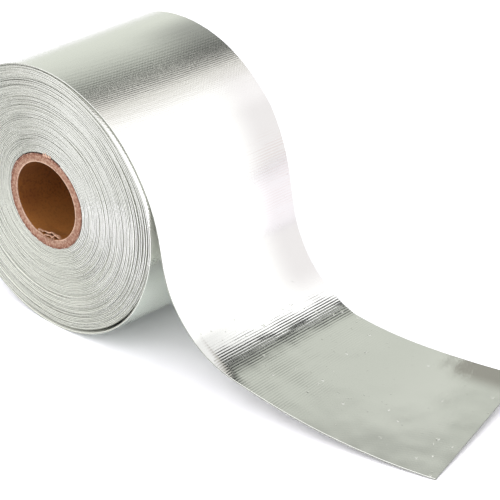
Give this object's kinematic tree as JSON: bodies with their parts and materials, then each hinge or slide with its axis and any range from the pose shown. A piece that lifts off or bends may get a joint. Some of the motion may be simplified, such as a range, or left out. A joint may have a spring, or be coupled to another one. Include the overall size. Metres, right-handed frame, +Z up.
{
  "type": "roll of reflective heat tape",
  "caption": "Roll of foil-faced woven heat tape lying on its side on a cardboard core, with the free end of the strip run out on the floor.",
  "frame": {"origin": "centre of the bottom face of the object's bounding box, on the floor", "axes": "+X from the roll towards the free end of the strip, Y along the roll's axis, +Z up"},
  "size_m": [0.168, 0.0624, 0.0746],
  "materials": {
    "foil_tape": "satin",
    "cardboard": "matt"
  },
  "bodies": {
    "root": {"tape": "foil_tape", "cardboard_core": "cardboard"}
  },
  "joints": []
}
